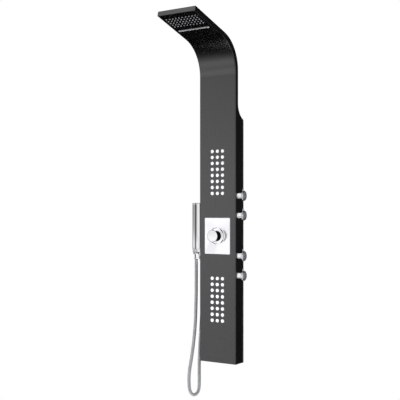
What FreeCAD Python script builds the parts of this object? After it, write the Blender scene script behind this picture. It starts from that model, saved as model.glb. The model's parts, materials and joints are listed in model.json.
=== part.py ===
import FreeCAD, Part
import math
import os
import Sketcher
from FreeCAD import Placement, Rotation, Vector

# Wall-hung shower panel.  Millimetres, +Z up, +X to the user's left-to-right, -Y towards the user.
# The origin is the centre of the four wall-screw holes, on the wall plane, at the height of the mixer's axis.

doc = FreeCAD.newDocument("ShowerColumn")
sheet = doc.addObject("Spreadsheet::Sheet", "Sizes")

DIMENSIONS = {
    # housing
    "panel_width": 175,
    "panel_depth": 63,
    "neck_depth": 20,
    "panel_bottom": 526,
    "bend_level": 774,
    "bend_radius": 144,
    "head_rise": 16.18,
    "head_reach": 316,
    "step_radius": 68,
    "step_level": 546,
    "sheet_gauge": 1.5,
    "cover_gauge": 1.2,
    "cover_screw_radius": 2,
    "seal_gauge": 0.8,
    "seal_width": 11,
    "edge_round": 3,
    "fit_gap": 0.2,
    "seat_gap": 0.1,
    "clear_gap": 0.3,
    "running_gap": 0.08,
    # rain head
    "rain_pitch": 15,
    "rain_columns": 10,
    "rain_rows": 5,
    "rain_centre": 252,
    "rain_hole": 2.6,
    "rain_tip": 1.9,
    "rain_flange": 4.5,
    "rain_chamber_height": 16,
    "rain_chamber_margin": 15,
    "rain_chamber_side": 9.5,
    "rain_tube_x": 55,
    "rain_tube_above": 13.8,
    "waterfall_centre": 185,
    "waterfall_length": 143,
    "waterfall_border": 4,
    "waterfall_width": 7,
    "waterfall_slot": 3,
    "waterfall_chamber_height": 7,
    "waterfall_chamber_reach": 13,
    "waterfall_boss_length": 12,
    "waterfall_tube_x": 67,
    "waterfall_tube_above": 11.5,
    "chamber_wall": 1.5,
    # body jets
    "jet_pitch": 25,
    "jet_columns": 3,
    "jet_rows": 8,
    "jet_centre": 264,
    "jet_bezel_radius": 7,
    "jet_hole": 4.6,
    "jet_tip_radius": 2.4,
    "jet_chamber_depth": 15,
    "jet_chamber_margin": 15,
    "jet_tube_x": 20,
    "jet_tube_depth": 51,
    # mixer
    "plate_width": 122,
    "plate_height": 150,
    "plate_gauge": 2,
    "throat_radius": 21,
    "collar_radius": 35,
    "collar_height": 5,
    "collar_wall": 4,
    "pivot_depth": 76,
    "dome_radius": 14.5,
    "carrier_radius": 9.6,
    "lever_side": 8,
    "lever_reach": 22.5,
    "lever_pin_radius": 1.5,
    "handle_radius": 25,
    "mixer_body_radius": 28,
    "inlet_radius": 10.475,
    "inlet_offset": 33,
    "inlet_drop": 33,
    "inlet_length": 18,
    "inlet_back": 26,
    "mixed_port_end": 34,
    "cartridge_radius": 17.5,
    # side knobs
    "valve_depth": 42.5,
    "valve_step": 81,
    "valve_inner": 83,
    "valve_middle": 2,
    "valve_neck": 7,
    "knob_length": 33,
    "knob_radius": 20.5,
    "knob_stem": 10.8,
    "knob_pin_radius": 3.3,
    "spindle_radius": 4,
    "manifold_side": 27,
    "manifold_half": 185,
    # hand shower
    "wand_x": 119.5,
    "wand_y": 41,
    "wand_top": 137.6,
    "wand_bottom": 56,
    "wand_radius": 16,
    "spray_inset": 3.6,
    "wand_collar_bottom": 78,
    "cup_bottom": 99,
    "cup_radius": 14,
    "nut_top_radius": 11.4,
    "nut_bottom_radius": 9.6,
    "hose_radius": 7,
    "outlet_x": 105.5,
    "outlet_y": 13,
    "outlet_z": 165,
    "outlet_radius": 8.5,
    "stub_radius": 9,
    "hose_bore": 4.5,
    "stud_radius": 5,
    # tubes and fixings
    "tube_radius": 4.5,
    "tube_bore": 3.2,
    "bracket_level": 400,
    "bracket_hole_x": 50,
    "bracket_hole": 3.25,
    "bracket_gauge": 2,
    "bracket_half": 70,
    "hook_depth": 10,
    "hanger_depth": 14,
    "hanger_top": 45,
}


class Size(float):
    """A number that remembers the sheet expression it comes from."""

    def __new__(cls, value, text):
        size = float.__new__(cls, value)
        size.text = text
        return size

    def joined(self, sign, other, value, turned_round=False):
        first, second = (text_of(other), self.text) if turned_round else (self.text, text_of(other))
        return Size(value, "(%s %s %s)" % (first, sign, second))

    def __add__(self, other):
        return self.joined("+", other, float(self) + float(other))

    def __radd__(self, other):
        return self.joined("+", other, float(other) + float(self), True)

    def __sub__(self, other):
        return self.joined("-", other, float(self) - float(other))

    def __rsub__(self, other):
        return self.joined("-", other, float(other) - float(self), True)

    def __mul__(self, other):
        return self.joined("*", other, float(self) * float(other))

    def __rmul__(self, other):
        return self.joined("*", other, float(other) * float(self), True)

    def __truediv__(self, other):
        return self.joined("/", other, float(self) / float(other))

    def __neg__(self):
        return Size(-float(self), "(-1 * %s)" % self.text)


def text_of(number):
    return number.text if isinstance(number, Size) else "%.6f" % number


def sine(angle):
    return Size(math.sin(math.radians(angle)), "sin(%s)" % text_of(angle))


def cosine(angle):
    return Size(math.cos(math.radians(angle)), "cos(%s)" % text_of(angle))


def tangent(angle):
    return Size(math.tan(math.radians(angle)), "tan(%s)" % text_of(angle))


def fill_sheet():
    for row, (alias, value) in enumerate(DIMENSIONS.items(), 1):
        sheet.set("A%d" % row, alias)
        sheet.set("B%d" % row, str(value))
        sheet.setAlias("B%d" % row, alias)
    doc.recompute()


def size(alias):
    return Size(sheet.get(alias), "Sizes." + alias)


fill_sheet()

# Sizes that several pieces share

HALF_WIDTH = size("panel_width") / 2
FRONT = -size("panel_depth")
GAUGE = size("sheet_gauge")
FRONT_INSIDE = FRONT + GAUGE
WALL_INSIDE = HALF_WIDTH - GAUGE
NECK_BACK = FRONT + size("neck_depth")
RISE = size("head_rise")
VALVE_Y = -size("valve_depth")
VALVE_LEVELS = [
    size("valve_middle") + size("valve_inner") + size("valve_step"),
    size("valve_middle") + size("valve_inner"),
    size("valve_middle") - size("valve_inner"),
    size("valve_middle") - size("valve_inner") - size("valve_step"),
]
MANIFOLD_FACE = HALF_WIDTH - 13.5
MANIFOLD_INNER = MANIFOLD_FACE - size("manifold_side")
PIVOT_Y = -size("pivot_depth")
PIVOT = (0, PIVOT_Y, 0)
WAND = (-size("wand_x"), -size("wand_y"), 0)
OUTLET = (-size("outlet_x"), -size("outlet_y"), -size("outlet_z"))
ARM_LEVEL = -size("cup_bottom") - 6
# Half the span of a grid of nozzles, from the middle to the outermost row or column
RAIN_ROWS_HALF = size("rain_pitch") * (size("rain_rows") - 1) / 2
RAIN_COLUMNS_HALF = size("rain_pitch") * (size("rain_columns") - 1) / 2
JET_ROWS_HALF = size("jet_pitch") * (size("jet_rows") - 1) / 2
JET_COLUMNS_HALF = size("jet_pitch") * (size("jet_columns") - 1) / 2
RAIN_REACH = RAIN_ROWS_HALF + size("rain_chamber_margin")

# How far a drill goes through a sheet, starting half of it behind the sheet's face
DRILL = 10
# How far a cutting block reaches past the solid that it cuts
BEYOND = 20

# The hose hangs from the wand's nut, turns at the bottom and climbs behind to the outlet.
HOSE_ROUTE = [
    (-119.5, -41, -100),
    (-119.5, -41, -160),
    (-117.5, -45, -280),
    (-119, -51, -400),
    (-131, -57, -510),
    (-142, -62, -578),
    (-141, -66, -628),
    (-136, -65, -667),
    (-130, -39, -684),
    (-125, -12, -668),
    (-124, -11, -624),
    (-124, -12, -556),
    (-121, -11, -470),
    (-112, -13, -360),
    (-105.5, -13, -262),
    (-105.5, -13, -207),
]
HOSE_TOP = HOSE_ROUTE[0][2]
HOSE_END = HOSE_ROUTE[-1][2]

# Directions that a turned piece's own +Z can point to

UP = Rotation()
DOWN = Rotation(Vector(1, 0, 0), 180)
TO_USER = Rotation(Vector(1, 0, 0), 90)
TO_WALL = Rotation(Vector(1, 0, 0), -90)
TO_RIGHT = Rotation(Vector(0, 1, 0), 90)
TO_LEFT = Rotation(Vector(0, 1, 0), -90)
HEAD_UP = Rotation(Vector(1, 0, 0), -RISE)
HEAD_DOWN = Rotation(Vector(1, 0, 0), 180 - RISE)
HEAD_FORWARD = Rotation(Vector(1, 0, 0), 90 - RISE)


# Document helpers


def bind(thing, name, value):
    if isinstance(value, Size):
        thing.setExpression(name, value.text)
    elif name.isidentifier():
        setattr(thing, name, value)


def place(thing, spot, turn=UP):
    thing.Placement = Placement(Vector(*spot), turn)
    for letter, value in zip("xyz", spot):
        bind(thing, "Placement.Base." + letter, value)
    return thing


def named(kind, label):
    thing = doc.addObject(kind, label)
    thing.Label = label
    return thing


def box(label, low, high):
    thing = named("Part::Box", label)
    for name, near, far in zip(("Length", "Width", "Height"), low, high):
        bind(thing, name, far - near)
    return place(thing, low)


def head_box(label, half_x, near, far, low, high):
    """A box square to the head: near and far along its underside from the bend, low and high above it."""
    thing = named("Part::Box", label)
    bind(thing, "Length", half_x * 2)
    bind(thing, "Width", far - near)
    bind(thing, "Height", high - low)
    y, z = head_spot(far, low)
    return place(thing, (-half_x, y, z), HEAD_UP)


def head_spot(along, above):
    """The Y and Z of a point at a distance along the head's underside and a height above it."""
    y = FRONT - along * cosine(RISE) + above * sine(RISE)
    z = size("bend_level") + along * sine(RISE) + above * cosine(RISE)
    return y, z


def rod(label, radius, length, spot, turn=UP):
    thing = named("Part::Cylinder", label)
    bind(thing, "Radius", radius)
    bind(thing, "Height", length)
    return place(thing, spot, turn)


def hexagon(label, across_flats, length, spot, turn=UP):
    thing = named("Part::Prism", label)
    thing.Polygon = 6
    bind(thing, "Circumradius", across_flats / 2 / cosine(30))
    bind(thing, "Height", length)
    return place(thing, spot, turn)


def ball(label, radius, spot):
    thing = named("Part::Sphere", label)
    bind(thing, "Radius", radius)
    return place(thing, spot)


def joined(label, pieces):
    thing = named("Part::MultiFuse", label)
    thing.Shapes = pieces
    return thing


def grouped(label, pieces):
    thing = named("Part::Compound", label)
    thing.Links = pieces
    return thing


def cut(label, base, tools):
    thing = named("Part::Cut", label)
    thing.Base = base
    thing.Tool = tools[0] if len(tools) == 1 else grouped(label + "_tools", tools)
    return thing


def shared(label, pieces):
    thing = named("Part::MultiCommon", label)
    thing.Shapes = pieces
    return thing


def origin_plane(body, role):
    return [item for item in body.Origin.OriginFeatures if item.Role == role][0]


def sketch_on(body, label, role, corners):
    """A closed outline: each corner is (u, v) or (u, v, fillet radius)."""
    sketch = body.newObject("Sketcher::SketchObject", label)
    sketch.AttachmentSupport = (origin_plane(body, role), [""])
    sketch.MapMode = "FlatFace"
    count = len(corners)
    spots = [Vector(float(corner[0]), float(corner[1]), 0) for corner in corners]
    ends = []
    for index, corner in enumerate(corners):
        spot = spots[index]
        back = (spots[index - 1] - spot).normalize()
        ahead = (spots[(index + 1) % count] - spot).normalize()
        reach = 0
        if len(corner) == 3:
            reach = float(corner[2]) / math.tan(back.getAngle(ahead) / 2)
        ends.append((spot + back * reach, spot + ahead * reach))
    lines = []
    for index in range(count):
        start, stop = ends[index][1], ends[(index + 1) % count][0]
        lines.append(sketch.addGeometry(Part.LineSegment(start, stop), False))
    for index, corner in enumerate(corners):
        into, out = lines[index - 1], lines[index]
        if len(corner) == 2:
            sketch.addConstraint(Sketcher.Constraint("Coincident", into, 2, out, 1))
            fix_point(sketch, out, 1, corner)
        else:
            round_corner(sketch, into, out, corner, ends[index], spots[index])
    return sketch


def fix_point(sketch, geometry, end, corner):
    for kind, value in zip(("DistanceX", "DistanceY"), corner):
        number = sketch.addConstraint(Sketcher.Constraint(kind, -1, 1, geometry, end, float(value)))
        bind(sketch, "Constraints[%d]" % number, value)


def round_corner(sketch, into, out, corner, ends, spot):
    start, stop = ends
    radius = float(corner[2])
    inward = ((start + stop) / 2 - spot).normalize()
    centre = spot + inward * math.hypot(radius, (start - spot).Length)
    turns_left = (spot - start).cross(stop - spot).z > 0
    begin, finish = (start, stop) if turns_left else (stop, start)
    first, last = (1, 2) if turns_left else (2, 1)
    angles = [math.atan2(point.y - centre.y, point.x - centre.x) for point in (begin, finish)]
    if angles[1] < angles[0]:
        angles[1] += 2 * math.pi
    circle = Part.Circle(centre, Vector(0, 0, 1), radius)
    arc = sketch.addGeometry(Part.ArcOfCircle(circle, angles[0], angles[1]), False)
    mark = sketch.addGeometry(Part.Point(spot), True)
    sketch.addConstraint(Sketcher.Constraint("Tangent", into, 2, arc, first))
    sketch.addConstraint(Sketcher.Constraint("Tangent", arc, last, out, 1))
    number = sketch.addConstraint(Sketcher.Constraint("Radius", arc, radius))
    bind(sketch, "Constraints[%d]" % number, corner[2])
    sketch.addConstraint(Sketcher.Constraint("PointOnObject", mark, 1, into))
    sketch.addConstraint(Sketcher.Constraint("PointOnObject", mark, 1, out))
    fix_point(sketch, mark, 1, corner)


def extruded(label, corners, width, role="YZ_Plane"):
    """A body whose outline is padded by width, half to each side of its plane."""
    body = named("PartDesign::Body", label)
    sketch = sketch_on(body, label + "_outline", role, corners)
    pad = body.newObject("PartDesign::Pad", label + "_pad")
    pad.Profile = sketch
    pad.SideType = "Symmetric"
    bind(pad, "Length", width)
    return body


def turned(label, corners, spot=(0, 0, 0), turn=UP):
    """A body of revolution: each corner is (radius, distance along the axis)."""
    body = named("PartDesign::Body", label)
    sketch = sketch_on(body, label + "_outline", "XZ_Plane", corners)
    spin = body.newObject("PartDesign::Revolution", label + "_turn")
    spin.Profile = sketch
    spin.ReferenceAxis = (sketch, ["V_Axis"])
    spin.Angle = 360
    return place(body, spot, turn)


def repeated(label, master, spots, turn=UP):
    """Separate copies of one finished solid, in one node."""
    doc.recompute()
    solid = master.Shape.copy()
    solid.Placement = Placement()
    copies = []
    for spot in spots:
        copy = solid.copy()
        copy.Placement = Placement(Vector(*[float(value) for value in spot]), turn)
        copies.append(copy)
    thing = named("Part::Feature", label)
    thing.Shape = Part.makeCompound(copies)
    return thing


def rounded_path(points, fixed_radii=None):
    """Straight runs joined by tangent arcs, each as large as 0.45 of its shorter run allows, unless fixed."""
    edges = []
    radii = []
    start = points[0]
    for number, (before, corner, after) in enumerate(zip(points, points[1:], points[2:])):
        back = before - corner
        ahead_of = after - corner
        half_turn = (math.pi - back.getAngle(ahead_of)) / 2
        radius = 0.45 * min(back.Length, ahead_of.Length) / math.tan(half_turn)
        if fixed_radii and fixed_radii[number]:
            radius = fixed_radii[number]
        reach = radius * math.tan(half_turn)
        back.normalize()
        ahead_of.normalize()
        first = corner + back * reach
        last = corner + ahead_of * reach
        inward = (back + ahead_of).normalize()
        middle = corner + inward * (math.hypot(radius, reach) - radius)
        edges.append(Part.LineSegment(start, first).toShape())
        edges.append(Part.Arc(first, middle, last).toShape())
        radii.append(radius)
        start = last
    edges.append(Part.LineSegment(start, points[-1]).toShape())
    return Part.Wire(edges), radii


def swept(points, radius, fixed_radii=None):
    path, radii = rounded_path(points, fixed_radii)
    ring = Part.Wire([Part.makeCircle(float(radius), points[0], points[1] - points[0])])
    return path.makePipeShell([ring], True, False), path.Length, radii


def pipe(label, route):
    """A tube along a route whose inner points may give their bend's radius as a fourth number."""
    points = [Vector(*[float(value) for value in point[:3]]) for point in route]
    fixed_radii = [float(point[3]) if len(point) == 4 else None for point in route[1:-1]]
    outer = swept(points, size("tube_radius"), fixed_radii)[0]
    bore = swept(points, size("tube_bore"), fixed_radii)[0]
    thing = named("Part::Feature", label)
    thing.Shape = outer.cut(bore)
    return thing


# Housing


def side_outline(front_inset, back_inset, reach):
    """The corners of the panel seen from its side, its front and back faces set in by the two insets."""
    front = FRONT + front_inset
    back = NECK_BACK - back_inset
    high = size("neck_depth") - back_inset
    low_bend = (front, bend_corner(front_inset), size("bend_radius") + front_inset)
    high_bend = (back, bend_corner(high), size("bend_radius") - back_inset)
    return low_bend, head_spot(reach, front_inset), head_spot(reach, high), high_bend


def bend_corner(above):
    """The level where the upright line at this depth meets the head's sloping line at the same depth."""
    return size("bend_level") + above * tangent(45 - RISE / 2)


def step_cylinder(label, extra, width):
    """The round step where the deep lower housing runs out into the slim upper part."""
    spot = (-width / 2, NECK_BACK + size("step_radius"), size("step_level"))
    return rod(label, size("step_radius") + extra, width, spot, TO_RIGHT)


def front_panel():
    level = size("step_level")
    bottom = -size("panel_bottom")
    upper = side_outline(0, 0, size("head_reach") - GAUGE)
    outline = [(FRONT, bottom), *upper, (NECK_BACK, level), (0, level), (0, bottom)]
    block = extruded("panel_block", outline, size("panel_width"))
    stepped = cut("panel_stepped", block, [step_cylinder("panel_step", 0, size("panel_width") + BEYOND)])
    shell = cut("panel_shell", front_rounded("panel_rounded", stepped, 0), [panel_inside()])
    return cut("front_panel", shell, panel_holes())


def panel_inside():
    """Everything between the side flanges and behind the front sheet, open at the back and both ends."""
    beyond = size("head_reach") + BEYOND
    clear = size("bend_level") + size("panel_depth")
    below = -size("panel_bottom") - BEYOND
    low_bend = side_outline(GAUGE, 0, beyond)[0]
    outline = [
        (FRONT_INSIDE, below),
        low_bend,
        head_spot(beyond, GAUGE),
        head_spot(beyond, size("neck_depth") + BEYOND),
        (FRONT, clear),
        (BEYOND, clear),
        (BEYOND, below),
    ]
    return front_rounded("panel_inside", extruded("panel_space", outline, WALL_INSIDE * 2), GAUGE)


def front_rounded(label, base, inset):
    """The solid with the long edges of its front rounded; its front lies inset behind the panel's own."""
    doc.recompute()
    radius = size("edge_round") - inset
    thing = named("Part::Fillet", label)
    thing.Base = base
    thing.Edges = [(number, radius, radius) for number in long_front_edges(base.Shape, inset)]
    return thing


def long_front_edges(shape, inset):
    """The edges where the front, the bend and the head's underside, all set in by inset, meet the sides."""
    side = HALF_WIDTH - inset
    front = FRONT + inset
    bend_centre = (FRONT - size("bend_radius"), bend_corner(-size("bend_radius")))
    bend_radius = size("bend_radius") + inset
    numbers = []
    for number, edge in enumerate(shape.Edges, 1):
        length = edge.LastParameter - edge.FirstParameter
        spots = [edge.valueAt(edge.FirstParameter + length * part) for part in (0.25, 0.5, 0.75)]
        if any(not near(abs(spot.x), side) for spot in spots):
            continue
        middle = spots[1]
        above = (middle.y - FRONT) * sine(RISE) + (middle.z - size("bend_level")) * cosine(RISE)
        on_head = near(above, inset) and middle.y < front - 1
        on_bend = near(math.hypot(middle.y - bend_centre[0], middle.z - bend_centre[1]), bend_radius)
        if near(middle.y, front) or on_head or on_bend:
            numbers.append(number)
    return numbers


def near(first, second):
    return abs(first - second) < 0.01


def jet_spots(sign):
    pitch = size("jet_pitch")
    return [
        (column * pitch - JET_COLUMNS_HALF, sign * size("jet_centre") + row * pitch - JET_ROWS_HALF)
        for column in range(int(size("jet_columns")))
        for row in range(int(size("jet_rows")))
    ]


def rain_spots():
    pitch = size("rain_pitch")
    return [
        (column * pitch - RAIN_COLUMNS_HALF, size("rain_centre") + row * pitch - RAIN_ROWS_HALF)
        for column in range(int(size("rain_columns")))
        for row in range(int(size("rain_rows")))
    ]


def panel_holes():
    holes = []
    inside = DRILL / 2
    for sign in (1, -1):
        for x, z in jet_spots(sign):
            holes.append(rod("jet_hole", size("jet_hole"), DRILL, (x, FRONT + inside, z), TO_USER))
    for x, along in rain_spots():
        y, z = head_spot(along, inside)
        holes.append(rod("rain_hole", size("rain_hole"), DRILL, (x, y, z), HEAD_DOWN))
    holes.append(waterfall_slot("waterfall_hole"))
    throat = size("throat_radius") + 1
    holes.append(rod("mixer_hole", throat, DRILL, (0, FRONT + inside, 0), TO_USER))
    for level in VALVE_LEVELS:
        radius = size("valve_neck") + size("fit_gap")
        holes.append(rod("valve_hole", radius, DRILL, (HALF_WIDTH - inside, VALVE_Y, level), TO_RIGHT))
    left = inside - HALF_WIDTH
    radius = size("stub_radius") + size("fit_gap")
    holes.append(rod("outlet_hole", radius, DRILL, (left, OUTLET[1], OUTLET[2]), TO_LEFT))
    radius = size("stud_radius") + size("fit_gap")
    holes.append(rod("holder_hole", radius, DRILL, (left, WAND[1], ARM_LEVEL), TO_LEFT))
    return holes


def cover_block(name, inset, extra):
    """A block whose back and top follow the cover's face, or its inner face when inset by the gauge."""
    width = (WALL_INSIDE - size("fit_gap")) * 2 + extra
    middle = size("neck_depth") / 2
    level = size("step_level")
    heel = level - size("step_radius") - extra
    upper = side_outline(middle, inset, size("head_reach") - GAUGE + extra)
    step = [(NECK_BACK - inset, level), (0 - inset, level), (0 - inset, heel)]
    block = extruded(name, [(FRONT + middle, heel), *upper, *step], width)
    return cut(name + "_stepped", block, [step_cylinder(name + "_step", inset, width + BEYOND)])


def upper_back_cover():
    outside = cover_block("cover_outside", 0, 0)
    inside = cover_block("cover_inside", size("cover_gauge"), BEYOND)
    sheet_metal = cut("cover_sheet", outside, [inside])
    radius = size("cover_screw_radius") + size("fit_gap")
    holes = [rod("cover_hole", radius, DRILL, spot, TO_WALL) for spot in screw_spots(-DRILL / 2)]
    return cut("upper_back_cover", sheet_metal, holes)


def screw_spots(behind):
    """The four cover screws, this far behind the slim part's back face."""
    return [
        (side * (WALL_INSIDE - 8), NECK_BACK + behind, size("step_level") + rise)
        for side in (-1, 1)
        for rise in (20, 110)
    ]


def cover_screws():
    shank = size("cover_screw_radius")
    head = [(shank, 0), (shank + 1.6, 0), (shank + 1.2, 1.6), (shank + 0.2, 2.2), (0, 2.2)]
    screw = turned("cover_screw", [(0, -6), (shank, -6), *head])
    return repeated("cover_screws", screw, screw_spots(0), TO_WALL)


def head_end_cap():
    end = size("head_reach")
    inner = end - GAUGE
    under_cover = size("neck_depth") - size("cover_gauge")
    blank = head_box("end_blank", HALF_WIDTH, inner, end, 0, size("neck_depth"))
    plate = front_rounded("end_plate", blank, 0)
    lip = head_box("end_lip", HALF_WIDTH - 8, inner - 10, inner, under_cover - GAUGE, under_cover)
    return joined("head_end_cap", [plate, lip])


def bottom_plate():
    bottom = -size("panel_bottom")
    half = WALL_INSIDE - size("fit_gap")
    corner = size("edge_round") - GAUGE
    outline = [(-half, FRONT_INSIDE, corner), (half, FRONT_INSIDE, corner), (half, -1), (-half, -1)]
    plate = extruded("bottom_sheet", outline, GAUGE, "XY_Plane")
    place(plate, (0, 0, bottom + GAUGE / 2))
    drains = [rod("drain", 4, DRILL, (side * 50, -30, bottom - DRILL / 2)) for side in (-1, 1)]
    return cut("bottom_plate", plate, drains)


def edge_seals():
    """Black strips outside the side flanges, along the wall; the left one parts at the hose outlet."""
    foot = -size("panel_bottom")
    top = size("step_level") - size("step_radius")
    half_gap = 14
    gauge = size("seal_gauge")
    runs = [
        (HALF_WIDTH, foot, top),
        (-HALF_WIDTH - gauge, foot, OUTLET[2] - half_gap),
        (-HALF_WIDTH - gauge, OUTLET[2] + half_gap, top),
    ]
    strips = []
    for x, low, high in runs:
        strips.append(box("edge_seal", (x, -size("seal_width"), low), (x + gauge, 0, high)))
    return grouped("edge_seals", strips)


# Rain head


def chamber(label, half, first, last, height, holes):
    """A closed tray on the inside of the head's underside, from first to last along it."""
    wall = size("chamber_wall")
    outside = head_box(label + "_outside", half, first, last, GAUGE, GAUGE + height)
    floor, ceiling = GAUGE + wall, GAUGE + height - wall
    inside = head_box(label + "_inside", half - wall, first + wall, last - wall, floor, ceiling)
    return cut(label, outside, [inside, *holes])


def rain_chamber():
    first, last = size("rain_centre") - RAIN_REACH, size("rain_centre") + RAIN_REACH
    holes = []
    for x, along in rain_spots():
        holes.append(rod("chamber_hole", size("rain_hole"), 6, (x, *head_spot(along, 4)), HEAD_DOWN))
    inlet = head_spot(first - DRILL / 2, size("rain_tube_above"))
    holes.append(rod("rain_inlet", size("tube_bore"), DRILL, (size("rain_tube_x"), *inlet), HEAD_FORWARD))
    half = RAIN_COLUMNS_HALF + size("rain_chamber_side")
    return chamber("rain_chamber", half, first, last, size("rain_chamber_height"), holes)


def rain_nozzles():
    wall = size("chamber_wall") + GAUGE
    flange = size("rain_flange")
    neck = size("rain_hole") - size("seat_gap")
    tip = size("rain_tip")
    outline = [
        (0.7, -wall - 1.5),
        (flange, -wall - 1.5),
        (flange, -wall),
        (neck, -wall),
        (neck, 0),
        (tip + 1.6, 0),
        (tip + 1.4, 0.8),
        (tip + 0.6, 1),
        (tip, 3),
        (0.7, 3),
    ]
    nozzle = turned("rain_nozzle", outline)
    spots = [(x, *head_spot(along, 0)) for x, along in rain_spots()]
    return repeated("rain_nozzles", nozzle, spots, HEAD_DOWN)


def waterfall_slot(label):
    """The opening that the sheet of water leaves by, through the tray, the sheet and the lip."""
    slot = size("waterfall_slot") / 2
    centre = size("waterfall_centre")
    half = size("waterfall_length") / 2 - size("waterfall_border")
    return head_box(label, half, centre - slot, centre + slot, -DRILL / 2, DRILL / 2)


def waterfall_chamber():
    centre = size("waterfall_centre")
    reach = size("waterfall_chamber_reach")
    height = size("waterfall_chamber_height")
    half = size("waterfall_length") / 2 + size("waterfall_border")
    slot = waterfall_slot("tray_slot")
    tray = chamber("waterfall_tray", half, centre - reach, centre + reach, height, [slot])
    return joined("waterfall_chamber", [tray, waterfall_boss()])


def waterfall_boss():
    """The block on the tray's rear edge that its feed tube ends in."""
    half = 7
    rear = size("waterfall_centre") - size("waterfall_chamber_reach")
    start = rear - size("waterfall_boss_length")
    boss = head_box("waterfall_boss", half, start, rear, GAUGE, size("waterfall_tube_above") + 5)
    bind(boss, "Placement.Base.x", size("waterfall_tube_x") - half)
    return boss


def waterfall_lip():
    edge = size("waterfall_width") / 2
    centre = size("waterfall_centre")
    bar = head_box("waterfall_bar", size("waterfall_length") / 2, centre - edge, centre + edge, -1.6, 0)
    return cut("waterfall_lip", bar, [waterfall_slot("lip_slot")])


# Body jets


def jet_chamber(label, sign):
    wall = size("chamber_wall")
    half = JET_COLUMNS_HALF + size("jet_chamber_margin")
    centre = sign * size("jet_centre")
    rise = JET_ROWS_HALF + size("jet_chamber_margin")
    back = FRONT_INSIDE + size("jet_chamber_depth")
    outside = box(label + "_outside", (-half, FRONT_INSIDE, centre - rise), (half, back, centre + rise))
    low = (-half + wall, FRONT_INSIDE + wall, centre - rise + wall)
    inside = box(label + "_inside", low, (half - wall, back - wall, centre + rise - wall))
    holes = [
        rod("jet_seat", size("jet_hole"), 6, (x, FRONT_INSIDE + 4, z), TO_USER) for x, z in jet_spots(sign)
    ]
    port = (size("jet_tube_x"), -size("jet_tube_depth"), centre - sign * rise - DRILL / 2)
    holes.append(rod("jet_port", size("tube_bore"), DRILL, port))
    return cut(label, outside, [inside, *holes])


def all_jet_spots():
    return [(x, FRONT, z) for sign in (1, -1) for x, z in jet_spots(sign)]


def jet_bezels():
    bore = size("jet_tip_radius") + size("seat_gap")
    rim = size("jet_bezel_radius")
    seat = size("jet_hole") - size("seat_gap")
    back = -(GAUGE + size("chamber_wall"))
    front = [(rim, 0), (rim, 0.9), (rim - 1, 2), (bore + 0.9, 2.6), (bore, 2)]
    outline = [(bore, back), (seat, back), (seat, 0), *front]
    return repeated("jet_bezels", turned("jet_bezel", outline), all_jet_spots(), TO_USER)


def jet_tips():
    radius = size("jet_tip_radius")
    back = -(GAUGE + size("chamber_wall"))
    outline = [
        (0.6, back - 1.5),
        (radius + 1.3, back - 1.5),
        (radius + 1.3, back),
        (radius, back),
        (radius, 2.8),
        (radius - 0.7, 3.6),
        (0.6, 3.6),
    ]
    return repeated("jet_tips", turned("jet_tip", outline), all_jet_spots(), TO_USER)


# Mixer.  Turned pieces here have their origin at the handle's pivot and point to the user.


def on_mixer(label, outline):
    return turned(label, outline, PIVOT, TO_USER)


def ahead(y):
    """How far a depth in the panel's frame is ahead of the pivot."""
    return PIVOT_Y - y


def mixer_plate():
    half, high = size("plate_width") / 2, size("plate_height") / 2
    plate = box("plate_blank", (-half, FRONT - size("plate_gauge"), -high), (half, FRONT, high))
    hole = rod("plate_hole", size("throat_radius") + 1, DRILL, (0, FRONT + DRILL / 2, 0), TO_USER)
    return cut("mixer_plate", plate, [hole])


def mixer_body():
    """The brass casting: a barrel with a threaded throat, an arm with two inlets, and a mixed-water port."""
    barrel_back = 14
    arm_half = 12
    across, below, back = size("inlet_offset"), -size("inlet_drop"), -size("inlet_back")
    seat = (0, FRONT_INSIDE, 0)
    barrel = rod("mixer_barrel", size("mixer_body_radius"), -FRONT_INSIDE - barrel_back, seat, TO_WALL)
    throat = rod("mixer_throat", size("throat_radius"), size("plate_gauge") + 7, (0, FRONT + 3, 0), TO_USER)
    low = (-across - arm_half, VALVE_Y - 7.5, below - arm_half)
    arm = box("mixer_arm", low, (across + arm_half, back, below + arm_half))
    port = rod("mixed_port", 11, size("mixed_port_end"), (0, VALVE_Y, 0), TO_RIGHT)
    inlets = []
    bores = [rod("cartridge_bore", size("cartridge_radius") + size("fit_gap"), 38, (0, -31, 0), TO_USER)]
    for side in (-1, 1):
        x = side * across
        inlets.append(rod("inlet", size("inlet_radius"), size("inlet_length"), (x, back, below), TO_WALL))
        bores.append(rod("inlet_bore", 7, 40, (x, back - arm_half, below), TO_WALL))
    bores.append(rod("port_bore", 5, 20, (16, VALVE_Y, 0), TO_RIGHT))
    casting = joined("mixer_casting", [barrel, throat, arm, port, *inlets])
    return cut("mixer_body", casting, bores)


def mixer_clamp_nut():
    throat = size("throat_radius")
    behind = ahead(FRONT - size("plate_gauge"))
    top = behind + 3.2
    outline = [(throat, behind), (29.5, behind), (29.5, top), (throat, top)]
    return on_mixer("mixer_clamp_nut", outline)


def mixer_collar():
    rim = size("collar_radius")
    behind = ahead(FRONT - size("plate_gauge"))
    top = behind + size("collar_height")
    opening = size("throat_radius") + size("clear_gap") + size("seat_gap")
    inner = rim - size("collar_wall")
    under = top - 1.6
    outline = [
        (inner, behind),
        (rim, behind),
        (rim, under),
        (rim - 1.8, top),
        (opening, top),
        (opening, under),
        (inner, under),
    ]
    return on_mixer("mixer_collar", outline)


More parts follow.
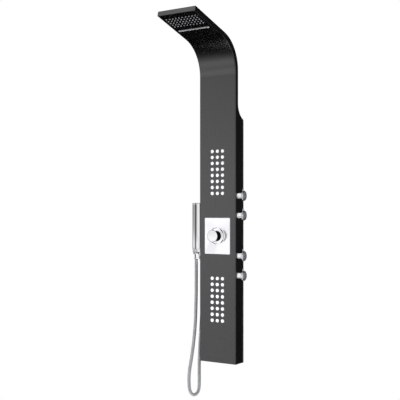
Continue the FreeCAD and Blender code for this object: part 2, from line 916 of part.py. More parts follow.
def mixer_bonnet():
    """The dome that the handle swivels on, open at its tip for the lever, with a rim on the throat."""
    half_ball = shared("bonnet_dome", [
        ball("bonnet_ball", size("dome_radius"), PIVOT),
        rod("bonnet_reach", BEYOND, 30, (0, PIVOT_Y + 5, 0), TO_USER),
    ])
    rim = rod("bonnet_rim", size("throat_radius") + size("fit_gap"), 2, (0, PIVOT_Y + 7, 0), TO_USER)
    opening = size("carrier_radius") + size("clear_gap") + size("seat_gap")
    bore = rod("bonnet_bore", opening, 40, (0, PIVOT_Y + 15, 0), TO_USER)
    return cut("mixer_bonnet", joined("bonnet_blank", [half_ball, rim]), [bore])


def cartridge():
    rim = size("cartridge_radius")
    seat = size("carrier_radius") + size("running_gap")
    outline = [(0, -45), (rim, -45), (rim, -16), (12, -16), (12, -11), (seat, -11), (seat, -19), (0, -19)]
    return on_mixer("cartridge", outline)


def cartridge_nut():
    rim = size("cartridge_radius") + size("seat_gap")
    return on_mixer("cartridge_nut", [(12.2, -16), (rim, -16), (rim, -10), (12.2, -10)])


def cartridge_carrier():
    """The forked stem that the lever tilts in, and that turns with it."""
    radius = size("carrier_radius")
    half = size("lever_side") / 2 + size("clear_gap")
    blank = rod("carrier_blank", radius, 21.7, (0, PIVOT_Y + 18.7, 0), TO_USER)
    slot = box("carrier_slot", (-half, PIVOT_Y - 8, -radius - 2), (half, PIVOT_Y + 5, radius + 2))
    hole = rod("carrier_hole", size("lever_pin_radius"), 30, (-15, PIVOT_Y, 0), TO_RIGHT)
    return cut("cartridge_carrier", blank, [slot, hole])


def lever_pin():
    length = 18
    return rod("lever_pin", size("lever_pin_radius"), length, (-length / 2, PIVOT_Y, 0), TO_RIGHT)


def lever():
    half = size("lever_side") / 2
    bar = box("lever_bar", (-half, PIVOT_Y - size("lever_reach"), -half), (half, PIVOT_Y + 3, half))
    hole = rod("lever_hole", size("lever_pin_radius") + size("running_gap"), 30, (-15, PIVOT_Y, 0), TO_RIGHT)
    return cut("lever", bar, [hole])


def mixer_handle():
    rim = size("handle_radius")
    half = size("lever_side") / 2
    outline = [
        (15.3, 4.5),
        (rim - 4, 4.5),
        (rim - 5.6, 8),
        (rim - 6.4, 13),
        (rim - 5.8, 18),
        (rim - 3.8, 22),
        (rim - 0.8, 24.8),
        (rim, 25.4),
        (rim, 26.5),
        (rim - 0.5, 27),
        (0, 27),
        (0, 15.2),
        (15.3, 15.2),
    ]
    blank = on_mixer("handle_blank", outline)
    socket = box("handle_socket", (-half, PIVOT_Y - size("lever_reach"), -half), (half, PIVOT_Y, half))
    return cut("mixer_handle", blank, [socket, *handle_fittings("_seat")])


def handle_fittings(ending):
    pin = rod("handle_pin" + ending, 3, 16.5, (0, PIVOT_Y - 20, 16), UP)
    screw = rod("handle_screw" + ending, 2.2, 15.3, (0, PIVOT_Y - 19, -size("lever_side") / 2), DOWN)
    return pin, screw


# Side valves


def valve_spots():
    return [(HALF_WIDTH, VALVE_Y, level) for level in VALVE_LEVELS]


def valve_manifold():
    half = size("manifold_side") / 2
    high = size("manifold_half")
    low = (MANIFOLD_INNER, VALVE_Y - half, -high)
    block = box("manifold_block", low, (MANIFOLD_FACE, VALVE_Y + half, high))
    radius = size("spindle_radius") + size("clear_gap")
    x = MANIFOLD_FACE - 8
    seats = [rod("valve_seat", radius, 12, (x, VALVE_Y, level), TO_RIGHT) for level in VALVE_LEVELS]
    return cut("valve_manifold", block, seats)


def valve_bonnets():
    bore = size("spindle_radius") + size("running_gap")
    neck = size("valve_neck")
    outline = [(bore, -13.5), (11, -13.5), (11, -5.5), (neck, -5.5), (neck, 9.5), (bore, 9.5)]
    return repeated("valve_bonnets", turned("valve_bonnet", outline), valve_spots(), TO_RIGHT)


def hex_nut(label, across_flats, hole, length):
    blank = hexagon(label + "_blank", across_flats, length, (0, 0, 0))
    return cut(label, blank, [rod(label + "_hole", hole, 30, (0, 0, -10))])


def valve_locknuts():
    spots = [(WALL_INSIDE - 4, VALVE_Y, level) for level in VALVE_LEVELS]
    return repeated("valve_locknuts", hex_nut("valve_locknut", 20, size("valve_neck"), 4), spots, TO_RIGHT)


def knob(number, level):
    """A stem that flares into a wide cap with a domed face, its grip pin, and the spindle that it turns."""
    stem = size("knob_stem")
    rim = size("knob_radius")
    end = size("knob_length")
    shaft = size("spindle_radius")
    spot = (HALF_WIDTH, VALVE_Y, level)
    mouth = size("valve_neck") + 0.5
    floor = 20.5
    outline = [
        (mouth, 0.5),
        (stem, 0.5),
        (stem, 14),
        (stem + 0.8, 18),
        (stem + 3, 23),
        (rim - 3.5, 26.2),
        (rim, 27),
        (rim, 28.4),
        (rim - 2, end - 2.8),
        (rim - 6, end - 1),
        (rim - 12, end),
        (0, end),
        (0, floor),
        (shaft, floor),
        (shaft, floor - 10),
        (mouth, floor - 10),
    ]
    blank = turned("knob_%d_blank" % number, outline, spot, TO_RIGHT)
    pin_foot = (HALF_WIDTH + 23.6, VALVE_Y, level + 7)
    pin_length = 21.5
    seat = rod("knob_%d_seat" % number, size("knob_pin_radius"), pin_length, pin_foot)
    cut("knob_%d" % number, blank, [seat])
    rod("knob_pin_%d" % number, size("knob_pin_radius"), pin_length, pin_foot)
    rod("spindle_%d" % number, shaft, floor + 17, (HALF_WIDTH - 17, VALVE_Y, level), TO_RIGHT)


# Hand shower.  Turned pieces here stand on the wand's axis, with levels as heights.


def handset_tube():
    radius = size("wand_radius")
    low, top = -size("wand_bottom"), size("wand_top")
    face = top - size("spray_inset")
    outline = [
        (5, low),
        (radius, low),
        (radius, top - 3),
        (radius - 0.9, top - 0.8),
        (radius - 2.4, top),
        (radius - 2.4, face),
        (radius - 5, face),
        (radius - 5, low + 8),
        (5, low + 8),
    ]
    return turned("handset_tube", outline, WAND)


def spray_spots():
    face = size("wand_top") - size("spray_inset")
    spots = [(WAND[0], WAND[1], face)]
    for count, ring in ((6, 5), (12, 9.6)):
        for number in range(count):
            angle = 2 * math.pi * number / count
            spots.append((WAND[0] + ring * math.cos(angle), WAND[1] + ring * math.sin(angle), face))
    return spots


def handset_spray_face():
    base = (WAND[0], WAND[1], size("wand_top") - size("spray_inset"))
    disc = rod("spray_disc", size("wand_radius") - 2.5, 3, base)
    holes = [rod("spray_hole", 1.3, 8, (x, y, z - 2)) for x, y, z in spray_spots()]
    return cut("handset_spray_face", disc, holes)


def handset_nozzles():
    nozzle = turned("spray_nozzle", [(0.4, 0), (1.25, 0), (1.25, 3), (0.9, 3.6), (0.4, 3.6)])
    return repeated("handset_nozzles", nozzle, spray_spots())


def handset_collar():
    top, low = -size("wand_bottom"), -size("wand_collar_bottom")
    wide = size("wand_radius") - 0.4
    outline = [(8, top), (wide, top), (wide, top - 10), (wide - 1.2, top - 17), (wide - 3.6, low), (8, low)]
    return turned("handset_collar", outline, WAND)


def hose_nut_upper():
    low = -size("wand_collar_bottom")
    bore = size("hose_bore")
    outline = [
        (bore, low + 18),
        (7.9, low + 18),
        (7.9, low),
        (size("nut_top_radius"), low),
        (size("nut_bottom_radius"), HOSE_TOP),
        (bore, HOSE_TOP),
    ]
    return turned("hose_nut_upper", outline, WAND)


def handset_holder():
    x, y = WAND[:2]
    gap = size("clear_gap")
    top, low = -size("wand_collar_bottom") - gap, -size("cup_bottom")
    rim = size("cup_radius")
    outline = [
        (size("nut_bottom_radius") + gap, low),
        (rim - 1, low),
        (rim, low + 1),
        (rim, top - 1),
        (rim - 1, top),
        (size("nut_top_radius") + gap, top),
    ]
    cup = turned("holder_cup", outline, WAND)
    foot = (-HALF_WIDTH, y, ARM_LEVEL)
    web = box("holder_web", (x + rim - 2, y - 5, ARM_LEVEL - 3), (x + rim + 5, y + 5, low + 13))
    arm = rod("holder_arm", 6.5, -HALF_WIDTH - x - rim + 2.5, foot, TO_LEFT)
    flange = rod("holder_flange", 11, 3, foot, TO_LEFT)
    stud = rod("holder_stud", size("stud_radius"), 12, foot, TO_RIGHT)
    casting = joined("holder_casting", [cup, web, arm, flange, stud])
    mouth_half = size("hose_radius") + 0.5
    mouth = box("holder_mouth", (x - mouth_half, y - 30, low - 5), (x + mouth_half, y, top + 5))
    return cut("handset_holder", casting, [mouth])


# Hose outlet and hose


def outlet_elbow():
    x, y, z = OUTLET
    radius = size("outlet_radius")
    foot = (-HALF_WIDTH, y, z)
    flange = rod("elbow_flange", 12.5, 2.5, foot, TO_LEFT)
    across = rod("elbow_across", radius, -HALF_WIDTH - x, foot, TO_LEFT)
    corner = ball("elbow_corner", radius, OUTLET)
    down = rod("elbow_down", radius, 25, OUTLET, DOWN)
    stub = rod("elbow_stub", size("stub_radius"), 11, (-HALF_WIDTH - 0.5, y, z), TO_RIGHT)
    bore = size("hose_bore")
    bores = [
        rod("elbow_bore_across", bore, 30, OUTLET, TO_RIGHT),
        rod("elbow_bore_down", bore, 30, OUTLET, DOWN),
    ]
    return cut("outlet_elbow", joined("elbow_casting", [flange, across, corner, down, stub]), bores)


def hose_nut_lower():
    x, y, z = OUTLET
    thread = size("outlet_radius")
    rim = thread + 2
    outline = [
        (thread, z - 15),
        (rim, z - 15),
        (rim, z - 32),
        (size("nut_bottom_radius") - 1, HOSE_END),
        (size("hose_bore"), HOSE_END),
        (size("hose_bore"), z - 25),
        (thread, z - 25),
    ]
    return turned("hose_nut_lower", outline, (x, y, 0))


def fitting_nuts():
    """The lock nuts, inside the left wall, of the hose outlet and of the hand shower's holder."""
    elbow = hex_nut("elbow_nut", 22, size("stub_radius"), 5)
    holder = hex_nut("holder_nut", 17, size("stud_radius"), 5)
    outlet = repeated("outlet_side_nut", elbow, [(-WALL_INSIDE, OUTLET[1], OUTLET[2])], TO_RIGHT)
    cup = repeated("holder_side_nut", holder, [(-WALL_INSIDE, WAND[1], ARM_LEVEL)], TO_RIGHT)
    return grouped("fitting_nuts", [outlet, cup])


def hose():
    solid, length, radii = swept([Vector(*point) for point in HOSE_ROUTE], size("hose_radius"))
    thing = named("Part::Feature", "hose")
    thing.Shape = solid
    section = math.pi * size("hose_radius") ** 2
    print("hose length %.1f, volume over section %.1f" % (length, solid.Volume / section))
    print("hose bend radii", " ".join("%.0f" % radius for radius in radii))


# Tubes behind the front sheet


def head_tube(label, x, above, along):
    """A tube that climbs from the manifold behind the front sheet and follows the bend into the head."""
    y = FRONT + above
    route = [
        (x, y, size("manifold_half")),
        (x, y, bend_corner(above), size("bend_radius") + above),
        (x, *head_spot(along, above)),
    ]
    return pipe(label, route)


def jet_tubes():
    x, y = size("jet_tube_x"), -size("jet_tube_depth")
    end = size("jet_centre") - JET_ROWS_HALF - size("jet_chamber_margin")
    tubes = []
    for name, sign in (("jet_tube_upper", 1), ("jet_tube_lower", -1)):
        level = sign * 130
        tubes.append(pipe(name, [(MANIFOLD_INNER, y, level), (x, y, level), (x, y, sign * end)]))
    return grouped("jet_tubes", tubes)


def handset_feed_tube():
    """From the manifold, past the mixer's body, to the hose outlet's stub."""
    y, z = -38, -150
    route = [
        (MANIFOLD_INNER, y, z),
        (5, y, z),
        (-38, OUTLET[1], OUTLET[2]),
        (-WALL_INSIDE + 9.5, OUTLET[1], OUTLET[2]),
    ]
    return pipe("handset_feed_tube", route)


def mixed_water_pipe():
    start = size("mixed_port_end")
    return rod("mixed_water_pipe", 8, MANIFOLD_INNER - start, (start, VALVE_Y, 0), TO_RIGHT)


def tube_clamps():
    """Two blocks behind the slim part of the front sheet, each with a groove for either head tube."""
    back = NECK_BACK - size("cover_gauge")
    height = 8
    border = 6
    spots = [
        (size("rain_tube_x"), FRONT + size("rain_tube_above")),
        (size("waterfall_tube_x"), FRONT + size("waterfall_tube_above")),
    ]
    clamps = []
    for level in (590, 640):
        low = (spots[0][0] - border, FRONT + 6.5, level)
        block = box("clamp_block", low, (spots[1][0] + border, back, level + height))
        grooves = [rod("clamp_groove", size("tube_radius"), BEYOND, (x, y, level - 5)) for x, y in spots]
        clamps.append(cut("tube_clamp", block, grooves))
    return grouped("tube_clamps", clamps)


# Wall fixing


def wall_brackets():
    """Two plates screwed to the wall, each with an upturned lip that the panel hangs on."""
    gauge = size("bracket_gauge")
    half = size("bracket_half")
    hook = size("hook_depth")
    shelf = 25
    brackets = []
    for sign in (1, -1):
        level = sign * size("bracket_level")
        top = level + shelf + gauge
        plate = box("bracket_plate", (-half, -gauge, level - 15), (half, 0, top))
        web = box("bracket_web", (-half, -hook, level + shelf), (half, 0, top))
        lip = box("bracket_lip", (-half, -hook, top), (half, -hook + gauge, top + 16))
        blank = joined("bracket_blank", [plate, web, lip])
        holes = []
        for side in (-1, 1):
            spot = (side * size("bracket_hole_x"), -6, level)
            holes.append(rod("bracket_screw_hole", size("bracket_hole"), DRILL, spot, TO_WALL))
        brackets.append(cut("wall_bracket", blank, holes))
    return grouped("wall_brackets", brackets)


def panel_hangers():
    """Two strips across the panel, each folded down behind a bracket's lip."""
    gauge = size("bracket_gauge")
    front = -size("hanger_depth")
    back = -size("hook_depth") / 2
    hangers = []
    for sign in (1, -1):
        level = sign * size("bracket_level")
        top = level + size("hanger_top")
        plate = box("hanger_plate", (-WALL_INSIDE, front, level + 20), (WALL_INSIDE, front + gauge, top))
        web = box("hanger_web", (-WALL_INSIDE, front, top - gauge), (WALL_INSIDE, back, top))
        flange = box("hanger_flange", (-WALL_INSIDE, back - gauge, level + 30), (WALL_INSIDE, back, top))
        hangers.append(joined("panel_hanger", [plate, web, flange]))
    return grouped("panel_hangers", hangers)


NODES = """
front_panel upper_back_cover cover_screws head_end_cap bottom_plate edge_seals
rain_chamber rain_nozzles waterfall_chamber waterfall_lip
upper_jet_chamber lower_jet_chamber jet_bezels jet_tips
mixer_plate mixer_body mixer_clamp_nut mixer_collar mixer_bonnet cartridge cartridge_nut
cartridge_carrier lever_pin lever mixer_handle handle_pin handle_screw
valve_manifold valve_bonnets valve_locknuts
knob_1 knob_2 knob_3 knob_4 knob_pin_1 knob_pin_2 knob_pin_3 knob_pin_4
spindle_1 spindle_2 spindle_3 spindle_4
handset_tube handset_spray_face handset_nozzles handset_collar hose_nut_upper handset_holder
outlet_elbow hose_nut_lower fitting_nuts hose
mixed_water_pipe rain_tube waterfall_tube jet_tubes handset_feed_tube tube_clamps
wall_brackets panel_hangers
""".split()


def build():
    front_panel()
    upper_back_cover()
    cover_screws()
    head_end_cap()
    bottom_plate()
    edge_seals()
    rain_chamber()
    rain_nozzles()
    waterfall_chamber()
    waterfall_lip()
    jet_chamber("upper_jet_chamber", 1)
    jet_chamber("lower_jet_chamber", -1)
    jet_bezels()
    jet_tips()
    mixer_plate()
    mixer_body()
    mixer_clamp_nut()
    mixer_collar()
    mixer_bonnet()
    cartridge()
    cartridge_nut()
    cartridge_carrier()
    lever_pin()
    lever()
    mixer_handle()
    handle_fittings("")
    valve_manifold()
    valve_bonnets()
    valve_locknuts()
    for number, level in enumerate(VALVE_LEVELS, 1):
        knob(number, level)
    handset_tube()
    handset_spray_face()
    handset_nozzles()
    handset_collar()
    hose_nut_upper()
    handset_holder()
    outlet_elbow()
    hose_nut_lower()
    fitting_nuts()
    hose()
    mixed_water_pipe()
    head_tube("rain_tube", size("rain_tube_x"), size("rain_tube_above"), size("rain_centre") - RAIN_REACH)
    boss_end = size("waterfall_centre") - size("waterfall_chamber_reach") - size("waterfall_boss_length")
    head_tube("waterfall_tube", size("waterfall_tube_x"), size("waterfall_tube_above"), boss_end)
    jet_tubes()
    handset_feed_tube()
    tube_clamps()
    wall_brackets()
    panel_hangers()


def check_and_write():
    doc.recompute()
    failed = [thing.Label for thing in doc.Objects if {"Invalid", "Error"} & set(thing.State)]
    finished = {label: doc.getObjectsByLabel(label)[0] for label in NODES}
    for label, thing in finished.items():
        if thing.Shape.isNull() or not thing.Shape.isValid() or not thing.Shape.Solids:
            failed.append(label)
    if failed:
        raise RuntimeError("failed: " + ", ".join(failed))
    os.makedirs("parts", exist_ok=True)
    for label, thing in finished.items():
        thing.Shape.exportStep("parts/%s.step" % label)
    print("wrote %d nodes" % len(finished))


build()
check_and_write()
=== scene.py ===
"""The looks of a wall-hung rainfall shower column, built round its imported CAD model.

Lengths are in metres, in the model's own frame: the wall is the plane Y = 0, X is to the user's
right, and Z is up.  Outlines of turned pieces are in millimetres, and MM turns them into metres.
"""

import math

import bmesh
import bpy
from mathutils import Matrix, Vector
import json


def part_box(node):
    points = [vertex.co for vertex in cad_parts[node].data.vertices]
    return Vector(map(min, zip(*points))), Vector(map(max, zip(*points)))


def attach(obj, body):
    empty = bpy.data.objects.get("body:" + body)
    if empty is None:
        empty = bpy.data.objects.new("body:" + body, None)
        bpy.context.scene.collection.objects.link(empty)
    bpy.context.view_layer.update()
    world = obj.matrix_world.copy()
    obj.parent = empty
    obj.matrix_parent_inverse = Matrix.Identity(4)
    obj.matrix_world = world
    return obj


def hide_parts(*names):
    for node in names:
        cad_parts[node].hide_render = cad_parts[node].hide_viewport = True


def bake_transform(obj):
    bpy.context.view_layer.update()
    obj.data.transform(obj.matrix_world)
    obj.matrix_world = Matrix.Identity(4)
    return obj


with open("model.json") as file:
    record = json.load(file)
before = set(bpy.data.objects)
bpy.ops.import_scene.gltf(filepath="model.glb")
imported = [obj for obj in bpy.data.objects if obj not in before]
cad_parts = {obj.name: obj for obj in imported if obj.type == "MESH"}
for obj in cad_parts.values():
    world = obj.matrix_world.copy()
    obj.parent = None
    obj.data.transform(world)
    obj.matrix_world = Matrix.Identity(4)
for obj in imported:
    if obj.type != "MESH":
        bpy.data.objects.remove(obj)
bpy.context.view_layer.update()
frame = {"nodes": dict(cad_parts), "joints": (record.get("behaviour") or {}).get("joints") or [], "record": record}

MM = 0.001
UP = Vector((0, 0, 1))
DOWN = Vector((0, 0, -1))
RIGHT = Vector((1, 0, 0))
LEFT = Vector((-1, 0, 0))
TO_USER = Vector((0, -1, 0))
PANEL_LEFT = -87.5 * MM


# Camera, lights and floor


def make_camera():
    """A level camera to the user's right of the panel, at about the mixer's height."""
    turn = math.radians(33.07)
    data = bpy.data.cameras.new("camera")
    data.sensor_width = 36
    data.lens = 73.2
    data.shift_y = 0.0273
    camera = bpy.data.objects.new("camera", data)
    camera.location = (1.7813, -2.9314, 0.1039)
    camera.rotation_euler = (math.pi / 2, 0, turn)
    bpy.context.scene.collection.objects.link(camera)
    bpy.context.scene.camera = camera


def make_softbox(name, spot, target, size, power):
    """A rectangular lamp at a spot, turned towards a target."""
    data = bpy.data.lights.new(name, "AREA")
    data.shape = "RECTANGLE"
    data.size, data.size_y = size
    data.energy = power
    light = bpy.data.objects.new(name, data)
    light.location = spot
    aim = Vector(target) - Vector(spot)
    light.rotation_euler = aim.to_track_quat("-Z", "Y").to_euler()
    bpy.context.scene.collection.objects.link(light)
    return light


# How bright the room is all round, by azimuth in degrees: 0 is where the user stands, 90 is to the
# user's right.  It is bright to the left and right in front, dark in the middle and behind, and has
# a narrow dark strip between 31 and 35.
ROOM_AROUND = [
    (-180, 0.03),
    (-95, 0.03),
    (-78, 0.09),
    (-68, 1.0),
    (-24, 1.0),
    (-17, 0.23),
    (-12, 0.14),
    (14, 0.14),
    (20, 0.23),
    (24, 0.91),
    (28, 0.73),
    (31, 0.11),
    (35, 0.11),
    (39, 0.91),
    (100, 0.91),
    (120, 0.11),
    (147, 0.05),
    (180, 0.03),
]
# The share of that brightness by elevation in degrees: dark far below, brightest level and a little
# below level, and dimmer towards the ceiling
ROOM_UPWARD = [
    (-90, 0.06),
    (-72, 0.01),
    (-60, 0.02),
    (-52, 0.03),
    (-45, 0.11),
    (-35, 0.42),
    (-26, 0.88),
    (-19, 0.74),
    (-10, 0.56),
    (0, 1.0),
    (10, 0.56),
    (37, 0.4),
    (60, 0.36),
    (90, 0.28),
]
ROOM_POWER = 1.08


def computed(tree, operation, *values):
    """The result of a math node whose values are numbers or other nodes' outputs."""
    node = tree.nodes.new("ShaderNodeMath")
    node.operation = operation
    for socket, value in zip(node.inputs, values):
        if isinstance(value, (int, float)):
            socket.default_value = value
        else:
            tree.links.new(value, socket)
    return node.outputs[0]


def brightness(tree, angle, table):
    """The brightness that a table of (degrees, brightness) gives at an angle in radians."""
    share = tree.nodes.new("ShaderNodeMapRange")
    first, last = table[0][0], table[-1][0]
    share.inputs["From Min"].default_value = math.radians(first)
    share.inputs["From Max"].default_value = math.radians(last)
    ramp = tree.nodes.new("ShaderNodeValToRGB")
    stops = ramp.color_ramp.elements
    stops[0].color = (table[0][1],) * 3 + (1,)
    stops[-1].color = (table[-1][1],) * 3 + (1,)
    for degrees, level in table[1:-1]:
        stop = stops.new((degrees - first) / (last - first))
        stop.color = (level, level, level, 1)
    tree.links.new(angle, share.inputs["Value"])
    tree.links.new(share.outputs["Result"], ramp.inputs["Fac"])
    return ramp.outputs["Color"]


def make_studio():
    """A white backdrop that the camera sees, and the banded room that lights the object."""
    world = bpy.data.worlds.new("studio")
    bpy.context.scene.world = world
    world.use_nodes = True
    tree = world.node_tree
    tree.nodes.clear()
    place = tree.nodes.new("ShaderNodeTexCoord")
    parts = tree.nodes.new("ShaderNodeSeparateXYZ")
    tree.links.new(place.outputs["Generated"], parts.inputs[0])
    ahead = computed(tree, "MULTIPLY", parts.outputs["Y"], -1)
    azimuth = computed(tree, "ARCTAN2", parts.outputs["X"], ahead)
    elevation = computed(tree, "ARCSINE", parts.outputs["Z"])
    room = tree.nodes.new("ShaderNodeBackground")
    upward = brightness(tree, elevation, ROOM_UPWARD)
    tree.links.new(brightness(tree, azimuth, ROOM_AROUND), room.inputs["Color"])
    tree.links.new(computed(tree, "MULTIPLY", upward, ROOM_POWER), room.inputs["Strength"])
    backdrop = tree.nodes.new("ShaderNodeBackground")
    backdrop.inputs["Color"].default_value = (1, 1, 1, 1)
    rays = tree.nodes.new("ShaderNodeLightPath")
    choose = tree.nodes.new("ShaderNodeMixShader")
    output = tree.nodes.new("ShaderNodeOutputWorld")
    tree.links.new(rays.outputs["Is Camera Ray"], choose.inputs["Fac"])
    tree.links.new(room.outputs["Background"], choose.inputs[1])
    tree.links.new(backdrop.outputs["Background"], choose.inputs[2])
    tree.links.new(choose.outputs["Shader"], output.inputs["Surface"])
    bpy.context.scene.view_settings.view_transform = "Standard"


def make_lights():
    """Soft lamps.  Metal doesn't mirror the key, the fill or the side light, and the strip is hidden."""
    make_softbox("top_softbox", (-0.6, -1.6, 2.6), (0, 0, 0.1), (1.8, 1.2), 5)
    key = make_softbox("key_softbox", (1.4, -1.5, 2.4), (0, 0, 0), (0.7, 0.7), 95)
    key.visible_glossy = False
    fill = make_softbox("head_fill", (0.8, -0.7, -0.7), (0, -0.25, 0.85), (0.5, 0.5), 8)
    fill.visible_glossy = False
    strip = make_softbox("wand_strip", (-0.0885, -0.032, 0.03), (-0.2, -0.032, 0.03), (0.06, 0.22), 0.036)
    strip.visible_camera = False
    side = make_softbox("hose_side_light", (-0.75, -0.35, -0.4), (-0.12, -0.05, -0.4), (0.25, 0.6), 12)
    side.visible_glossy = False


def make_floor():
    """A pale round floor below the hanging column."""
    bpy.ops.mesh.primitive_circle_add(vertices=96, radius=0.8, fill_type="NGON", location=(0, -0.1, -0.95))
    floor = bpy.context.object
    floor.name = "floor"
    floor.data.materials.append(finish("floor_paint", (0.86, 0.86, 0.86), rough=0.8, grain=40, bump=0.02))


# Materials


GRAIN_LOW = 0.3
GRAIN_HIGH = 0.7
GRAIN_DEPTH = 0.2 * MM


def finish(name, colour, metal=0.0, rough=0.4, grain=300.0, stretch=(1, 1, 1), bump=0.02, tint=0.04,
           rough_change=0.05, **sockets):
    """A surface whose colour, roughness and height vary with a fine grain, stretched along an axis."""
    material = bpy.data.materials.new(name)
    material.use_nodes = True
    tree = material.node_tree
    shader = tree.nodes["Principled BSDF"]
    shader.inputs["Metallic"].default_value = metal
    for socket, value in sockets.items():
        shader.inputs[socket.replace("_", " ")].default_value = value
    place = tree.nodes.new("ShaderNodeTexCoord")
    scaling = tree.nodes.new("ShaderNodeMapping")
    scaling.inputs["Scale"].default_value = stretch
    noise = tree.nodes.new("ShaderNodeTexNoise")
    noise.inputs["Scale"].default_value = grain
    noise.inputs["Detail"].default_value = 4
    colours = tree.nodes.new("ShaderNodeValToRGB")
    colours.color_ramp.elements[0].position = GRAIN_LOW
    colours.color_ramp.elements[1].position = GRAIN_HIGH
    colours.color_ramp.elements[0].color = (*[part * (1 - tint) for part in colour], 1)
    colours.color_ramp.elements[1].color = (*[min(1, part * (1 + tint)) for part in colour], 1)
    roughness = tree.nodes.new("ShaderNodeMapRange")
    roughness.inputs["From Min"].default_value = GRAIN_LOW
    roughness.inputs["From Max"].default_value = GRAIN_HIGH
    roughness.inputs["To Min"].default_value = max(0.01, rough - rough_change)
    roughness.inputs["To Max"].default_value = rough + rough_change
    height = tree.nodes.new("ShaderNodeBump")
    height.inputs["Strength"].default_value = bump
    height.inputs["Distance"].default_value = GRAIN_DEPTH
    tree.links.new(place.outputs["Object"], scaling.inputs["Vector"])
    tree.links.new(scaling.outputs["Vector"], noise.inputs["Vector"])
    tree.links.new(noise.outputs["Fac"], colours.inputs["Fac"])
    tree.links.new(noise.outputs["Fac"], roughness.inputs["Value"])
    tree.links.new(noise.outputs["Fac"], height.inputs["Height"])
    tree.links.new(colours.outputs["Color"], shader.inputs["Base Color"])
    tree.links.new(roughness.outputs["Result"], shader.inputs["Roughness"])
    tree.links.new(height.outputs["Normal"], shader.inputs["Normal"])
    return material


def make_materials():
    """Every finish by its name; a name that is one of the record's slots also colours the CAD parts of that slot.
    """
    return {
        "panel_steel": finish("brushed_black_steel", (0.119, 0.119, 0.121), 1, 0.25, 900, (1, 1, 0.02), 0.15),
        "cover_steel": finish("black_powder_coat", (0.02, 0.02, 0.021), 0, 0.5, 1500, bump=0.3, tint=0.1),
        "chrome": finish("polished_chrome", (0.89, 0.89, 0.92), 1, 0.06, 60, bump=0.002, tint=0.01,
                         rough_change=0.02),
        "plate_chrome": finish("plate_chrome", (0.84, 0.84, 0.87), 0.6, 0.1, 60, bump=0.002, tint=0.01),
        # The handle's waist is chrome in the record; it is coloured matte black with no gloss as a painted dark
        # reflection.
        "waist_painted_reflection": finish("waist_painted_reflection", (0.003, 0.003, 0.003), 0, 0.6, 400, bump=0.02, tint=0.02,
                              Specular_IOR_Level=0),
        # The bonnet dome is coloured near black as painted shade: it stands for the dark gap round the handle's
        # neck.
        "bonnet_painted_shade": finish("bonnet_painted_shade", (0.004, 0.004, 0.004), 0, 0.6, 400, bump=0.02, tint=0.02,
                               Specular_IOR_Level=0.05),
        "satin_chrome": finish("satin_chrome", (0.92, 0.92, 0.94), 0.2, 0.28, 60, bump=0.002, tint=0.01),
        "cap_chrome": finish("cap_chrome", (0.7, 0.74, 0.79), 0.85, 0.16, 60, bump=0.002, tint=0.02),
        "wand_chrome": finish("wand_chrome", (0.9, 0.9, 0.91), 1, 0.03, 60, bump=0.001, tint=0.01,
                              rough_change=0.01),
        "brass": finish("machined_brass", (0.65, 0.45, 0.18), 1, 0.28, 700, (1, 1, 0.2), 0.1),
        "nozzle_rubber": finish("pale_silicone", (0.78, 0.79, 0.80), 0, 0.5, 2000, bump=0.1),
        "rain_rubber": finish("grey_silicone", (0.5, 0.51, 0.53), 0, 0.5, 2000, bump=0.1),
        # The near-black seal strips are painted shade: they stand for the darkening of the sides next to the wall.
        "seal_rubber": finish("seal_strip_painted_shade", (0.012, 0.012, 0.012), 0, 0.7, 1500, bump=0.3, tint=0.1),
        "chamber_plastic": finish("dark_plastic", (0.03, 0.03, 0.032), 0, 0.42, 1200, bump=0.1),
        "cartridge_plastic": finish("acetal", (0.62, 0.62, 0.58), 0, 0.4, 900, bump=0.05),
        "tube_plastic": finish("white_tube", (0.75, 0.76, 0.77), 0, 0.3, 700, (1, 1, 0.1), 0.05),
        "bracket_steel": finish("zinc_plate", (0.55, 0.56, 0.57), 1, 0.38, 120, bump=0.05, tint=0.12),
        "hose_metal": finish("hose_steel", (0.46, 0.47, 0.49), 0.75, 0.28, 500, bump=0.02, tint=0.05),
    }


# Mesh tools


def place_piece(name, mesh, body, look, replaced=()):
    """Puts a mesh in the scene: smooth but for its sharp edges, with its finish, riding on its body."""
    tidy = bmesh.new()
    tidy.from_mesh(mesh)
    bmesh.ops.recalc_face_normals(tidy, faces=tidy.faces)
    tidy.to_mesh(mesh)
    tidy.free()
    mesh.shade_smooth()
    mesh.set_sharp_from_angle(angle=math.radians(35))
    mesh.materials.append(MATERIALS[look])
    piece = bpy.data.objects.new(name, mesh)
    bpy.context.scene.collection.objects.link(piece)
    if body:
        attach(piece, body)
    if replaced:
        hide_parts(*replaced)
    return piece


def eased(outline, closed, ease):
    """The outline with each corner rounded by an arc of three points on either side of its middle."""
    count = len(outline)
    points = []
    for number, (radius, height) in enumerate(outline):
        corner = Vector((radius, height))
        if not closed and number in (0, count - 1):
            points.append(corner)
            continue
        back = Vector(outline[number - 1]) - corner
        ahead = Vector(outline[(number + 1) % count]) - corner
        reach = min(ease, back.length * 0.4, ahead.length * 0.4)
        first = corner + back.normalized() * reach
        last = corner + ahead.normalized() * reach
        for part in (0, 0.25, 0.5, 0.75, 1):
            points.append(first * (1 - part) ** 2 + corner * 2 * part * (1 - part) + last * part**2)
    return points


def turned(outline, spot, axis, closed=False, ease=0.4, around=72, ripple=None):
    """Vertices and faces of an outline of (radius, height) in millimetres, turned about an axis."""
    points = eased(outline, closed, ease)
    turn = UP.rotation_difference(axis)
    vertices = []
    faces = []
    for point in points:
        for number in range(around):
            angle = 2 * math.pi * number / around
            radius = point.x + (ripple(angle, point.y) if ripple else 0)
            local = Vector((radius * math.cos(angle), radius * math.sin(angle), point.y)) * MM
            vertices.append(spot + turn @ local)
    rings = len(points)
    for ring in range(rings if closed else rings - 1):
        after = (ring + 1) % rings
        low, high = ring * around, after * around
        for number in range(around):
            beside = (number + 1) % around
            faces.append((low + number, low + beside, high + beside, high + number))
    return vertices, faces


